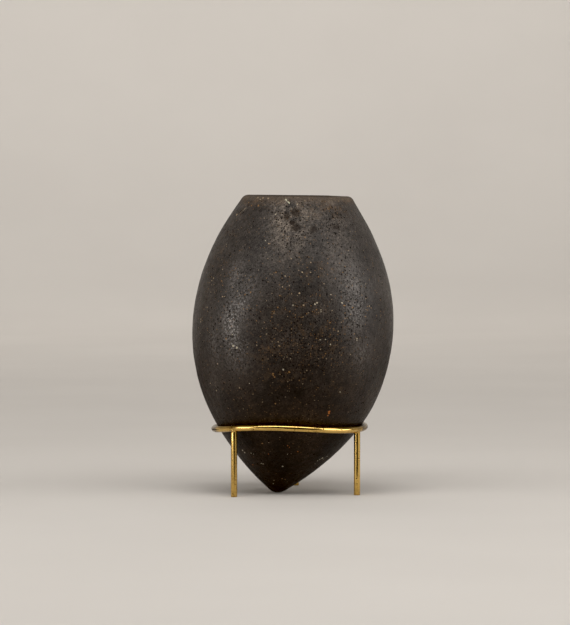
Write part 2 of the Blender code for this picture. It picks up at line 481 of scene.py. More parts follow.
def jar_outline():
    """The outline from the inner floor over the lip to the point. With it come, for each place, how much
    it counts as outside wall and as inside wall, and how hidden it is: 1 inside, a half on the lip."""
    inner_lip, outer_lip = lip_arcs()
    inside = wall_outline(BASE_THICKNESS, FLOOR_ROUNDING, BELLY_RADIUS - WALL, inner_lip[0])
    parts = (
        spread(inside, INSIDE_ROWS)[1:-1],
        spread(np.vstack((inner_lip, outer_lip)), LIP_ROWS),
        spread(outside_outline(), OUTSIDE_ROWS, CROWDING_NEAR_LIP)[-2:0:-1],
    )
    outline = np.vstack(parts)
    below_lip = np.clip((JAR_HEIGHT - LIP_OUTER_ROUNDING / 2 - outline[:, 1]) / LIP_EASE, 0, 1)
    is_inside, is_lip, is_outside = (
        np.repeat(kind, [len(part) for part in parts]) for kind in np.eye(3)
    )
    return outline, is_outside * below_lip, is_inside * below_lip, is_inside + 0.5 * is_lip


def outward_along(outline):
    """The unit normals of an outline that runs with the clay on its right."""
    along = np.gradient(outline, axis=0)
    along /= np.hypot(*along.T)[:, None]
    return np.column_stack((-along[:, 1], along[:, 0]))


def make_crooked(radius, turn, height):
    """Places on the leaning jar from places on a straight one, bent as the part's source bends it."""
    across = radius * np.sin(turn)
    drop = across * math.tan(MOUTH_SLOPE) * nearness_to_lip(height) ** SLOPE_EASE
    places = np.stack((across, -radius * np.cos(turn), height - drop + POINT_CLEARANCE), -1)
    places[..., :2] += axis_at(height)
    return places


def make_jar(clay):
    outline, outside, inside, hidden = jar_outline()
    azimuth = np.linspace(0, 2 * math.pi, JAR_SEGMENTS, endpoint=False)
    shape = (len(outline), JAR_SEGMENTS)
    radius, height, outside, inside, hidden = (
        np.broadcast_to(column[:, None], shape) for column in (*outline.T, outside, inside, hidden)
    )
    turn = np.broadcast_to(azimuth, shape)
    straight = np.stack((radius * np.sin(turn), -radius * np.cos(turn), height), -1).reshape(-1, 3)

    hand = noise_at(straight, HAND_WAVE_MM, 1).reshape(shape) * HAND_DEPTH
    scrape = noise_at(straight, SCRAPE_WAVE_MM, 2).reshape(shape) * SCRAPE_DEPTH
    grain = noise_at(straight, GRAIN_WAVE_MM, 3).reshape(shape) * GRAIN_DEPTH
    squashed = straight * np.array((COIL_FLATNESS, COIL_FLATNESS, 1.0))
    coils = noise_at(squashed, INSIDE_WAVE_MM, 4).reshape(shape) * INSIDE_DEPTH
    wear = np.maximum(0, noise_at(straight, LIP_WAVE_MM, 5).reshape(shape)) * LIP_DEPTH

    sunk = np.zeros(shape)
    hollow_shade = np.zeros(shape)
    jag = noise_at(straight, JAG_WAVE_MM, 7).reshape(shape)
    jagged_turn, jagged_height = turn + jag * JAG / radius.clip(POINT_EASE), height - jag * JAG
    # The spalls and scratches are sunk, and painted with shade that grows with their depth.
    for *oval, depth in SPALLS:
        mark = patch(jagged_turn, jagged_height, radius, *oval, SPALL_HARDNESS)
        sunk += mark * depth * MM
        hollow_shade = np.maximum(hollow_shade, mark * min(1.0, depth / FULLY_SHADED_DEPTH))
    *ends, half_width, depth = GOUGE
    sunk += scratch(turn, height, radius, *ends, half_width) * depth * MM
    for *ends, half_width, depth in SCRATCHES:
        mark = scratch(turn, height, radius, *ends, half_width)
        sunk += mark * depth * MM
        hollow_shade = np.maximum(hollow_shade, SCRATCH_SHADE * mark)
    *oval, depth = HOLLOW_UNDER_RIM
    sunk += patch(turn, height, radius, *oval) * depth * MM

    rise = outside * (hand + scrape + grain) - (1 - hidden) * sunk
    rise += inside * (coils + scrape - INSIDE_DEPTH / 2)
    rise -= (1 - outside - inside) * wear
    rise = rise * np.minimum(1, radius / POINT_EASE)
    outward = outward_along(outline)
    moved_radius = radius + rise * outward[:, :1]
    moved_height = height + rise * outward[:, 1:]

    rim_azimuth, rim_half_width, rim_depth = WORN_RIM
    from_worn = (np.degrees(turn) - rim_azimuth + 180) % 360 - 180
    fall = rim_depth * np.exp(-((from_worn / rim_half_width) ** 4))
    lip_start = JAR_HEIGHT - LIP_OUTER_ROUNDING
    moved_height -= fall * np.clip((height - lip_start) / LIP_OUTER_ROUNDING, 0, 1)

    low, high = (np.array(corner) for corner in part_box("jar"))
    places = np.clip(make_crooked(moved_radius, turn, moved_height), low, high)
    tip = make_crooked(0.0, 0.0, 0.0)
    floor = make_crooked(0.0, 0.0, BASE_THICKNESS)
    mesh = grid_mesh("clay_jar", places, (floor, tip))
    showing = 1 - hidden
    front_turn = (np.degrees(turn) + 180) % 360 - 180
    # Painted shade along the top of the lip, darker at the front than behind.
    painted_lip_shade = np.clip((height - PAINTED_LIP_SHADE_START) / PAINTED_LIP_SHADE_FADE, 0, 1)
    in_front = np.exp(-((front_turn / PAINTED_LIP_SHADE_DEG) ** 4))
    painted_lip_shade *= PAINTED_LIP_SHADE_BEHIND + (1 - PAINTED_LIP_SHADE_BEHIND) * in_front
    for name, values in (
        ("inside", hidden),
        ("height", height / JAR_HEIGHT),
        ("dull_lip", np.clip((height - DULL_LIP_START) / DULL_LIP_FADE, 0, 1)),
        ("painted_lip_shade", painted_lip_shade),
        ("spall_shade", hollow_shade * showing),
        ("pale", zone(turn, height, radius, WORN_AND_PAINTED_HIGHLIGHT_ZONES) * showing),
        ("glossy_and_painted_sheen", zone(turn, height, radius, GLOSSY_AND_PAINTED_SHEEN_ZONES) * showing),
        ("painted_glint", zone(turn, height, radius, PAINTED_GLINT_ZONES) * showing),
        ("dark_and_painted_shadow", zone(turn, height, radius, DARK_AND_PAINTED_SHADOW_ZONES) * showing),
        ("pitted", zone(turn, height, radius, PITTED_ZONES) * showing),
        ("ochre", zone(turn, height, radius, OCHRE_ZONES) * showing),
    ):
        add_attribute(mesh, name, values.ravel())
    mesh.materials.append(clay)
    jar = bpy.data.objects.new("clay_jar", mesh)
    bpy.context.scene.collection.objects.link(jar)
    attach(jar, "root")
    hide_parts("jar")


def ring_point(azimuth):
    """The centre of the ring's rod at an azimuth: it follows the jar's wall, up and down its bends."""
    height = RING_HEIGHT + sum(
        rise * math.cos(waves * (azimuth - crest)) for waves, rise, crest in RING_BENDS
    )
    above_point = height - POINT_CLEARANCE
    after = int(np.searchsorted(OUTLINE[:, 1], above_point))
    below, above = OUTLINE[after - 1], OUTLINE[after]
    share = (above_point - below[1]) / (above[1] - below[1])
    lean = math.atan2(above[0] - below[0], above[1] - below[1])
    reach = below[0] + share * (above[0] - below[0]) + (ROD_RADIUS + RING_CLEARANCE) / math.cos(lean)
    centre = axis_at(above_point)
    return np.array(
        (centre[0] + reach * math.sin(azimuth), centre[1] - reach * math.cos(azimuth), height)
    )


# Unevenness and dull places of the rods, with painted shade at the feet and a painted grey reflection round
# the ring's back.
ROD_WAVE_MM = 14
ROD_UNEVENNESS = 0.02
PAINTED_GREY_BEYOND_DEG = 64
PAINTED_GREY_FADE_DEG = 6
JOINT_HALF_WIDTH_DEG = 3.2
JOINT_DULLNESS = 0.8
LEG_JOINT_DULLNESS = 0.5
SHARP_EDGE = math.radians(40)
FILLET = 0.00055
FOOT_CHAMFER = 0.00018
JOINT_REACH = 0.0006
# How far up each leg is dull, and how dull.
DULL_SHANKS = {
    "leg_front_left": (0.0265, 0.34),
    "leg_front_right": (0.006, 0.2),
    "leg_back": (0.034, 0.1),
}
DULL_FADE = 0.003
# Height of the painted shade along the bottom of each foot.
FOOT_SHADE_HEIGHT = 0.0006


def make_ring(brass):
    """A swept rod, drawn out slightly unevenly, with its dull places at the joints and a painted grey
    reflection, dull too, round the back.
    """
    azimuths = np.linspace(0, 2 * math.pi, RING_SEGMENTS, endpoint=False)
    centres = np.array([ring_point(azimuth) for azimuth in azimuths])
    along = np.roll(centres, -1, 0) - np.roll(centres, 1, 0)
    along /= np.linalg.norm(along, axis=1)[:, None]
    outward = np.cross(along, (0, 0, 1))
    outward /= np.linalg.norm(outward, axis=1)[:, None]
    upward = np.cross(outward, along)
    sides = np.linspace(0, 2 * math.pi, ROD_SIDES, endpoint=False)[:, None]
    unevenness = ROD_UNEVENNESS * noise_at(centres, ROD_WAVE_MM, 6)
    radius = (ROD_RADIUS * (1 + unevenness))[:, None, None]
    round_rod = np.cos(sides) * outward[:, None] + np.sin(sides) * upward[:, None]
    places = centres[:, None] + radius * round_rod

    turn = (np.degrees(azimuths) + 180) % 360 - 180
    # Painted reflection: the ring turns a dull grey beyond this angle from the front.
    grey = np.clip((np.abs(turn) - PAINTED_GREY_BEYOND_DEG) / PAINTED_GREY_FADE_DEG, 0, 1)
    tarnish_and_painted_shade = grey
    for azimuth in LEG_AZIMUTHS.values():
        away = (turn - math.degrees(azimuth) + 180) % 360 - 180
        tarnish_and_painted_shade = np.maximum(tarnish_and_painted_shade, JOINT_DULLNESS * np.exp(-((away / JOINT_HALF_WIDTH_DEG) ** 2)))

    mesh = grid_mesh("brass_ring", places, (None, None), joined_rows=True)
    add_attribute(mesh, "tarnish_and_painted_shade", np.repeat(tarnish_and_painted_shade, ROD_SIDES))
    add_attribute(mesh, "grey", np.repeat(grey, ROD_SIDES))
    mesh.materials.append(brass)
    ring = bpy.data.objects.new("brass_ring", mesh)
    bpy.context.scene.collection.objects.link(ring)
    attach(ring, "root")
    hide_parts("stand_ring")


def make_leg(name, azimuth, brass):
    """A straight rod, coped to the underside of the ring, with a fillet of brazing metal round its top."""
    top = ring_point(azimuth)
    sides = np.linspace(0, 2 * math.pi, ROD_SIDES, endpoint=False)
    rows = []
    junctions = []
    landings = []
    for side in sides:
        direction = np.array((math.sin(side), -math.cos(side)))
        on_leg = top[:2] + ROD_RADIUS * direction
        beyond = top[:2] + (ROD_RADIUS + FILLET) * direction
        junctions.append((*on_leg, ring_underside(on_leg, azimuth)[1]))
        place, height = ring_underside(beyond, azimuth)
        landings.append((*place, height))
    junctions, landings = np.array(junctions), np.array(landings)
    round_leg = np.column_stack((np.sin(sides), -np.cos(sides)))
    for radius, height in ((ROD_RADIUS - FOOT_CHAMFER, 0.0), (ROD_RADIUS, FOOT_CHAMFER)):
        rows.append(np.column_stack((top[:2] + radius * round_leg, np.full(ROD_SIDES, height))))
    start = rows[-1]
    end = junctions - np.array((0, 0, FILLET))
    for share in np.linspace(0, 1, LEG_ROWS + 1)[1:]:
        rows.append(start + (end - start) * share)
    for share in np.linspace(0, 1, FILLET_ROWS + 1)[1:]:
        rest = 1 - share
        rows.append(rest**2 * end + 2 * rest * share * junctions + share**2 * landings)
    places = np.array(rows)
    foot = (*top[:2], 0.0)
    mesh = grid_mesh(name, places, (foot, None))
    mesh.set_sharp_from_angle(angle=SHARP_EDGE)
    joint = np.exp(-((np.maximum(top[2] - places[..., 2] - ROD_RADIUS, 0) / JOINT_REACH) ** 2))
    dull_until, dullness = DULL_SHANKS[name]
    shank = dullness * np.clip((dull_until - places[..., 2]) / DULL_FADE, 0, 1)
    # Painted shade along the bottom of the foot.
    foot_shade = np.clip((FOOT_SHADE_HEIGHT - places[..., 2]) / FOOT_SHADE_HEIGHT, 0, 1)
    add_attribute(mesh, "tarnish_and_painted_shade", np.maximum.reduce((LEG_JOINT_DULLNESS * joint, shank, foot_shade)).ravel())
    add_attribute(mesh, "grey", [])
    mesh.materials.append(brass)
    leg = bpy.data.objects.new("brass_" + name, mesh)
    bpy.context.scene.collection.objects.link(leg)
    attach(leg, "root")
    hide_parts(name)


def ring_underside(place, azimuth):
    """The point of the ring's surface under or beside a place in plan: its own place in plan and height."""
    here = ring_point(azimuth)
    tangent = np.array((math.cos(azimuth), math.sin(azimuth)))
    reach = math.hypot(*(here[:2] - axis_at(here[2])))
    nearest = azimuth + float((place - here[:2]) @ tangent) / reach
    centre = ring_point(nearest)
    normal = np.array((math.sin(nearest), -math.cos(nearest)))
    aside = float((place - centre[:2]) @ normal)
    if abs(aside) <= ROD_RADIUS:
        return place, centre[2] - math.sqrt(ROD_RADIUS**2 - aside**2)
    climb = (abs(aside) - ROD_RADIUS) / ROD_RADIUS
    shift = math.copysign(ROD_RADIUS * math.cos(climb), aside) - aside
    return place + shift * normal, centre[2] + ROD_RADIUS * math.sin(climb)


class Shader:
    """Short calls for building one material's nodes."""

    def __init__(self, name):
        self.material = bpy.data.materials.new(name)
        self.material.use_nodes = True
        self.tree = self.material.node_tree
        self.principled = self.tree.nodes["Principled BSDF"]

    def node(self, kind, inputs=(), **settings):
        made = self.tree.nodes.new(kind)
        for key, value in settings.items():
            setattr(made, key, value)
        for key, value in dict(inputs).items():
            self.feed(made.inputs[key], value)
        return made

    def feed(self, socket, value):
        """Links a socket to another one, or sets its value."""
        if isinstance(value, bpy.types.NodeSocket):
            self.tree.links.new(value, socket)
        elif isinstance(value, tuple) and socket.type == "RGBA":
            socket.default_value = (*value, 1)
        else:
            socket.default_value = value

    def places_mm(self):
        """Places on the object, in millimetres."""
        found = self.node("ShaderNodeTexCoord").outputs["Object"]
        return self.scaled(found, 1 / MM)

    def scaled(self, vector, factor):
        made = self.node("ShaderNodeVectorMath", operation="SCALE")
        self.feed(made.inputs[0], vector)
        self.feed(made.inputs["Scale"], factor)
        return made.outputs[0]

    def moved(self, vector, shift, scale=(1.0, 1.0, 1.0)):
        inputs = {"Vector": vector, "Location": (shift, shift, shift), "Scale": scale}
        return self.node("ShaderNodeMapping", inputs).outputs[0]

    def noise(self, vector, wave_mm, detail=2.0, roughness=0.5, shift=0.0):
        inputs = {
            "Vector": self.moved(vector, shift),
            "Scale": 1 / wave_mm,
            "Detail": detail,
            "Roughness": roughness,
        }
        return self.node("ShaderNodeTexNoise", inputs).outputs["Fac"]

    def cells(self, vector, size_mm, shift=0.0):
        """The distance to the middle of the nearest of many cells, and three random numbers for the cell."""
        inputs = {"Vector": self.moved(vector, shift), "Scale": 1 / size_mm}
        made = self.node("ShaderNodeTexVoronoi", inputs)
        chances = self.node("ShaderNodeSeparateColor", {"Color": made.outputs["Color"]})
        return made.outputs["Distance"], chances.outputs

    def math(self, operation, *values):
        made = self.node("ShaderNodeMath", operation=operation)
        for socket, value in zip(made.inputs, values):
            self.feed(socket, value)
        return made.outputs[0]

    def times(self, *values):
        product = values[0]
        for value in values[1:]:
            product = self.math("MULTIPLY", product, value)
        return product

    def plus(self, *values):
        total = values[0]
        for value in values[1:]:
            total = self.math("ADD", total, value)
        return total

    def around(self, value, swing):
        """A noise value as a factor around 1."""
        return self.plus(1 - swing / 2, self.times(value, swing))

    def ramp(self, value, low, high, to_low=0.0, to_high=1.0):
        """Maps low..high of a value to to_low..to_high, smoothly and no further."""
        inputs = {
            "Value": value,
            "From Min": low,
            "From Max": high,
            "To Min": to_low,
            "To Max": to_high,
        }
        made = self.node("ShaderNodeMapRange", inputs, interpolation_type="SMOOTHSTEP")
        return made.outputs[0]

    def mix(self, share, first, second):
        """A mix of two colours."""
        made = self.node("ShaderNodeMix", data_type="RGBA")
        factor, colours = made.inputs[0], [i for i in made.inputs if i.type == "RGBA"]
        self.feed(factor, share)
        self.feed(colours[0], first)
        self.feed(colours[1], second)
        return next(output for output in made.outputs if output.type == "RGBA")

    def attribute(self, name):
        return self.node("ShaderNodeAttribute", attribute_name=name).outputs["Fac"]

    def dots(self, vector, size_mm, share, radius_low, radius_high, shift=0.0):
        """Small spots: how much of one there is here, and a random number for each spot."""
        far, chances = self.cells(vector, size_mm, shift)
        chosen = self.math("LESS_THAN", chances[0], share)
        radius = self.ramp(chances[1], 0.0, 1.0, radius_low / size_mm, radius_high / size_mm)
        inner = self.math("SUBTRACT", self.math("DIVIDE", far, radius), 1.0)
        return self.times(self.ramp(inner, 0.25, -0.25), chosen), chances[2]

    def pushed(self, vector, wave_mm, depth_mm, shift=0.0):
        """Places pushed about by noise, for ragged edges."""
        inputs = {"Vector": self.moved(vector, shift), "Scale": 1 / wave_mm, "Detail": 2.0}
        colour = self.node("ShaderNodeTexNoise", inputs).outputs["Color"]
        halves = {0: colour, 1: (0.5, 0.5, 0.5)}
        centred = self.node("ShaderNodeVectorMath", halves, operation="SUBTRACT").outputs[0]
        push = self.scaled(centred, 2 * depth_mm)
        return self.node("ShaderNodeVectorMath", {0: vector, 1: push}, operation="ADD").outputs[0]

    def streaks(self, vector, turn_per_mm, across_mm, along, shift):
        """Thin streaks that wind round the upright axis, by an angle for each millimetre that they climb."""
        heights = self.node("ShaderNodeSeparateXYZ", {"Vector": vector}).outputs["Z"]
        inputs = {"Vector": vector, "Angle": self.times(heights, turn_per_mm)}
        wound = self.node("ShaderNodeVectorRotate", inputs, rotation_type="Z_AXIS").outputs[0]
        return self.noise(self.moved(wound, shift, (1.0, 1.0, along)), across_mm, 2, 0.6)

    def between(self, share, first, second):
        """A mix of two numbers."""
        return self.plus(first, self.times(share, self.math("SUBTRACT", second, first)))

    def flecks(self, vector, spots):
        """1 within any of a few spots, each a centre and a radius in mm."""
        found = None
        for centre, radius in spots:
            inputs = {0: vector, 1: centre}
            far = self.node("ShaderNodeVectorMath", inputs, operation="DISTANCE").outputs["Value"]
            spot = self.ramp(far, 1.15 * radius, 0.6 * radius)
            found = spot if found is None else self.math("MAXIMUM", found, spot)
        return found


def wall_place_mm(azimuth_deg, height_mm):
    """A place on the jar's outside, in millimetres."""
    height = height_mm * MM
    outline = np.vstack((OUTLINE, lip_arcs()[1][-2::-1]))
    radius = np.interp(height, outline[:, 1], outline[:, 0])
    place = make_crooked(radius, math.radians(azimuth_deg), height)
    return tuple(float(value) / MM for value in place)


def fleck_spots(flecks):
    return [(wall_place_mm(azimuth, height), radius) for azimuth, height, radius in flecks]


STROKE_SPOTS = 6


def stroke_spots(start_azimuth, start_height, end_azimuth, end_height, radius):
    """Overlapping spots along a short stroke."""
    shares = np.linspace(0, 1, STROKE_SPOTS)
    azimuths = start_azimuth + shares * (end_azimuth - start_azimuth)
    heights = start_height + shares * (end_height - start_height)
    return fleck_spots([(azimuth, height, radius) for azimuth, height in zip(azimuths, heights)])


# Colours of the clay, its streaks, and where each kind of streak lies.
CLAY_UPPER = (0.0410, 0.0352, 0.0310)
CLAY_UPPER_LIGHT = (0.0590, 0.0508, 0.0447)
# The two lower colours are painted shade: the clay is darker towards the point, where less light falls.
CLAY_LOWER_PAINTED_SHADE = (0.0140, 0.0088, 0.0056)
CLAY_LOWER_PAINTED_SHADE_PALER = (0.0255, 0.0160, 0.0100)
CLAY_LIP = (0.110, 0.080, 0.057)
CLAY_PAINTED_LIP_SHADE = (0.010, 0.005, 0.003)
CLAY_WORN_AND_PAINTED_HIGHLIGHT = (0.172, 0.142, 0.115)
CLAY_PAINTED_SHEEN = (0.225, 0.203, 0.186)
CLAY_PAINTED_GLINT = (0.42, 0.40, 0.38)
CLAY_STAIN = (0.125, 0.076, 0.040)
CLAY_PIT = (0.007, 0.0045, 0.003)
CLAY_SPALL_SHADE = (0.019, 0.0125, 0.0085)
CLAY_INSIDE = (0.115, 0.090, 0.068)
BROWN = (0.105, 0.055, 0.024)
OCHRE = (0.27, 0.145, 0.050)
TAN = (0.44, 0.33, 0.21)
PALE = (0.52, 0.46, 0.34)
RUST = (0.40, 0.13, 0.025)
CHALK = (0.85, 0.83, 0.60)
STEEP_STREAK_TURN = math.radians(-0.25)  # for each mm up, on the right
SLANTING_STREAK_TURN = math.radians(-1.7)  # on the left
SLANTING_UNTIL_MM = -14.0
STEEP_FROM_MM = 8.0
CLAY_SPECULAR = 0.20


def clay_material():
    s = Shader("burnished_clay")
    place = s.places_mm()
    ragged = s.pushed(place, 0.8, 0.35, 71)
    height, inside, lip = s.attribute("height"), s.attribute("inside"), s.attribute("dull_lip")
    spall_shade, pale, glossy_and_painted_sheen = s.attribute("spall_shade"), s.attribute("pale"), s.attribute("glossy_and_painted_sheen")
    pitted, ochre = s.attribute("pitted"), s.attribute("ochre")

    clouds = s.noise(place, 24, 3, 0.55)
    blotches = s.noise(place, 6, 4, 0.6, 31)
    mottle = s.noise(place, 1.9, 4, 0.7, 57)
    grain = s.noise(place, 0.62, 3, 0.65, 83)
    across = s.node("ShaderNodeSeparateXYZ", {"Vector": place}).outputs["X"]
    strokes = s.between(
        s.ramp(across, SLANTING_UNTIL_MM, STEEP_FROM_MM),
        s.streaks(place, SLANTING_STREAK_TURN, 1.5, 0.16, 5.0),
        s.streaks(place, STEEP_STREAK_TURN, 1.0, 0.09, 9.0),
    )

    share = s.ramp(clouds, 0.35, 0.65)
    upper = s.mix(share, CLAY_UPPER, CLAY_UPPER_LIGHT)
    lower = s.mix(share, CLAY_LOWER_PAINTED_SHADE, CLAY_LOWER_PAINTED_SHADE_PALER)
    # Painted shade: the body goes from the upper colours to the darker lower ones towards the point.
    uneven_height = s.plus(height, s.times(s.math("SUBTRACT", blotches, 0.5), 0.25))
    body = s.mix(s.ramp(uneven_height, 0.20, 0.80), lower, upper)
    body = s.mix(s.times(lip, s.ramp(blotches, 0.36, 0.6, 0.25, 0.9)), body, CLAY_LIP)
    # Worn clay, lighter also as a painted highlight.
    worn_and_highlight_share = s.times(pale, s.ramp(blotches, 0.34, 0.58), s.ramp(mottle, 0.36, 0.56, 0.5, 1.0))
    body = s.mix(worn_and_highlight_share, body, CLAY_WORN_AND_PAINTED_HIGHLIGHT)
    rough_tone = s.times(s.around(mottle, 2.0), s.around(grain, 5.0))
    smooth_tone = s.times(s.around(mottle, 2.0), s.around(grain, 3.2))
    tone = s.times(s.between(pitted, smooth_tone, rough_tone), s.around(strokes, 1.1))
    body = s.scaled(body, s.math("MAXIMUM", tone, 0.15))
    # Darker in the dark zones, one band of which is a painted leg shadow.
    body = s.scaled(body, s.math("SUBTRACT", 1.0, s.attribute("dark_and_painted_shadow")))
    # Painted sheen: a light grey flecked over the glossy zones, standing in for the softboxes' highlights.
    painted_sheen_noise = s.noise(ragged, 1.1, 3, 0.65, 41)
    painted_sheen = s.times(glossy_and_painted_sheen, s.ramp(painted_sheen_noise, 0.46, 0.60, 0.10, 0.92))
    body = s.mix(painted_sheen, body, CLAY_PAINTED_SHEEN)
    # Painted glints: near-white specks within the glint zones.
    painted_glint_noise = s.noise(place, 0.9, 2, 0.6, 47)
    body = s.mix(s.times(s.attribute("painted_glint"), s.ramp(painted_glint_noise, 0.54, 0.66)), body, CLAY_PAINTED_GLINT)

    stain = s.times(ochre, s.ramp(s.noise(place, 3.6, 3, 0.6, 67), 0.48, 0.64), 0.40)
    body = s.mix(stain, body, CLAY_STAIN)

    pits, _ = s.dots(ragged, 1.5, s.plus(0.05, s.times(pitted, 0.48)), 0.24, 0.50, 3.0)
    small_pits, _ = s.dots(ragged, 0.95, s.plus(0.05, s.times(pitted, 0.38)), 0.22, 0.42, 13.0)
    pit = s.math("MAXIMUM", pits, small_pits)
    body = s.mix(s.times(pit, 0.95), body, CLAY_PIT)

    speck, chance = s.dots(ragged, 0.95, s.plus(0.14, s.times(ochre, 0.46)), 0.16, 0.33, 19.0)
    speck_colour = s.mix(s.ramp(chance, 0.25, 0.60), BROWN, OCHRE)
    speck_colour = s.mix(s.ramp(chance, 0.80, 1.0), speck_colour, TAN)
    showing = s.times(s.ramp(inside, 0.1, 0.5, 1.0, 0.2), s.ramp(height, 0.2, 0.65, 0.3, 0.85))
    showing = s.times(showing, s.ramp(height, 0.72, 0.86, 1.0, 0.55))
    body = s.mix(s.times(speck, showing), body, speck_colour)
    bright, _ = s.dots(ragged, 3.1, s.plus(0.03, s.times(ochre, 0.10)), 0.22, 0.34, 41.0)
    body = s.mix(s.times(bright, showing), body, TAN)

    # Painted shade: a dark line along the top of the lip.
    edge = s.times(s.attribute("painted_lip_shade"), s.ramp(mottle, 0.34, 0.5, 0.5, 1.0))
    body = s.mix(edge, body, CLAY_PAINTED_LIP_SHADE)
    # Painted shade in the spalls and scratches.
    body = s.mix(s.times(spall_shade, s.ramp(mottle, 0.3, 0.6, 1.0, 0.75)), body, CLAY_SPALL_SHADE)
    body = s.mix(s.flecks(ragged, fleck_spots(TAN_FLECKS)), body, TAN)
    body = s.mix(s.flecks(ragged, stroke_spots(*SCRATCH_LIP)), body, TAN)
    body = s.mix(s.flecks(ragged, fleck_spots(OCHRE_FLECKS)), body, OCHRE)
    body = s.mix(s.flecks(ragged, fleck_spots(RUST_FLECKS)), body, RUST)
    body = s.mix(s.flecks(ragged, fleck_spots(PALE_FLECKS)), body, PALE)
    *gouge, _ = GOUGE
    body = s.mix(s.flecks(ragged, stroke_spots(*gouge)), body, CHALK)
    body = s.mix(s.times(inside, 0.75), body, CLAY_INSIDE)

    gloss = s.noise(place, 3.2, 3, 0.6, 11)
    rough = s.plus(s.ramp(gloss, 0.35, 0.65, 0.34, 0.46), s.times(worn_and_highlight_share, 0.15))
    rough = s.plus(rough, s.times(glossy_and_painted_sheen, -0.12), s.ramp(height, 0.55, 0.2, 0.0, 0.14))
    broken = s.math("MAXIMUM", pit, s.math("MAXIMUM", spall_shade, s.times(lip, 0.6)))
    rough = s.plus(rough, s.times(broken, 0.4))
    rough = s.math("MAXIMUM", rough, s.math("MAXIMUM", edge, s.times(inside, 0.75)))

    relief = s.times(s.math("SUBTRACT", grain, 0.5), 0.09)
    relief = s.plus(relief, s.times(s.math("SUBTRACT", mottle, 0.5), 0.26))
    relief = s.plus(relief, s.times(strokes, 0.05), s.times(pit, -0.14))
    bump = s.node("ShaderNodeBump", {"Height": relief, "Distance": MM, "Strength": 1.0})

    s.feed(s.principled.inputs["Base Color"], body)
    s.feed(s.principled.inputs["Roughness"], rough)
    s.feed(s.principled.inputs["Normal"], bump.outputs[0])
    s.principled.inputs["Specular IOR Level"].default_value = CLAY_SPECULAR
    return s.material


BRASS_CLEAN = (0.77, 0.51, 0.155)
BRASS_TARNISHED = (0.28, 0.160, 0.042)
BRASS_PAINTED_GREY_REFLECTION = (0.17, 0.130, 0.085)
BRASS_SPOT = (0.07, 0.030, 0.008)


def brass_material():
    s = Shader("brass_rod")
    place = s.places_mm()
    tarnish_and_painted_shade = s.attribute("tarnish_and_painted_shade")
    clouds = s.noise(place, 6, 3, 0.6)
    mottle = s.noise(place, 0.9, 4, 0.65, 23)
    film = s.times(s.ramp(clouds, 0.40, 0.68), s.ramp(mottle, 0.40, 0.62), 0.50)
    # Tarnish film, darkened further by tarnish at the joints and legs, by painted shade at the feet and by
    # the painted grey reflection round the ring's back.
    tarnish_and_shade = s.math("MINIMUM", s.plus(film, s.times(tarnish_and_painted_shade, s.ramp(mottle, 0.3, 0.6, 0.45, 0.95))), 1.0)
    spots, _ = s.dots(place, 1.3, 0.32, 0.15, 0.34, 7.0)
    # Tarnish, or the painted grey reflection round the ring's back.
    film_and_painted_grey = s.mix(s.attribute("grey"), BRASS_TARNISHED, BRASS_PAINTED_GREY_REFLECTION)
    colour = s.mix(tarnish_and_shade, BRASS_CLEAN, film_and_painted_grey)
    colour = s.mix(s.times(spots, 0.8), colour, BRASS_SPOT)
    rough = s.plus(0.07, s.times(tarnish_and_shade, 0.21), s.times(spots, 0.25))
    relief = s.times(s.math("SUBTRACT", mottle, 0.5), 0.012)
    relief = s.plus(relief, s.times(spots, -0.02))
    bump = s.node("ShaderNodeBump", {"Height": relief, "Distance": MM, "Strength": 1.0})
    s.feed(s.principled.inputs["Base Color"], colour)
    s.feed(s.principled.inputs["Roughness"], rough)
    s.feed(s.principled.inputs["Normal"], bump.outputs[0])
    s.principled.inputs["Metallic"].default_value = 1.0
    return s.material


# The studio: a round sweep of pale paper, two softboxes overhead, of which reflections show only the
# wide one, a softbox to each side, and one that lights the paper behind.
SWEEP_FLAT_RADIUS = 1.9
SWEEP_BEND_RADIUS = 0.9
SWEEP_TOP = 3.0
SWEEP_SEGMENTS = 96
SWEEP_BEND_STEPS = 24
PAPER_LIGHT = (0.668, 0.635, 0.595)
PAPER_SHADED = (0.649, 0.616, 0.577)
FRONT_WALL_PAINTED_SHADE = (0.20, 0.19, 0.18)
PAPER_ROUGHNESS = 0.8


def sweep_material():
    """Paper a little darker where it bends and paler again above, painted shade and light, and a wall on the
    camera's side painted dim as shade.
    """
    s = Shader("sweep_paper")
    place = s.node("ShaderNodeTexCoord").outputs["Object"]
    tone = s.noise(place, 0.22, 3, 0.5)
    colour = s.mix(s.ramp(tone, 0.3, 0.7), PAPER_SHADED, PAPER_LIGHT)
    parts = s.node("ShaderNodeSeparateXYZ", {"Vector": place}).outputs
    front = s.times(s.ramp(parts["Y"], 0.4, -1.4), s.ramp(parts["Z"], 0.02, 0.5))
    # Painted shade where the paper bends, and painted light further up.
    painted_grade = s.times(s.ramp(parts["Z"], 0.0, 0.05, 1.0, 0.955), s.ramp(parts["Z"], 0.05, 0.40, 1.0, 1.10))
    painted_graded = s.scaled(colour, painted_grade)
    s.feed(s.principled.inputs["Base Color"], s.mix(front, painted_graded, FRONT_WALL_PAINTED_SHADE))
    s.principled.inputs["Roughness"].default_value = PAPER_ROUGHNESS
    s.principled.inputs["Specular IOR Level"].default_value = 0.0
    return s.material


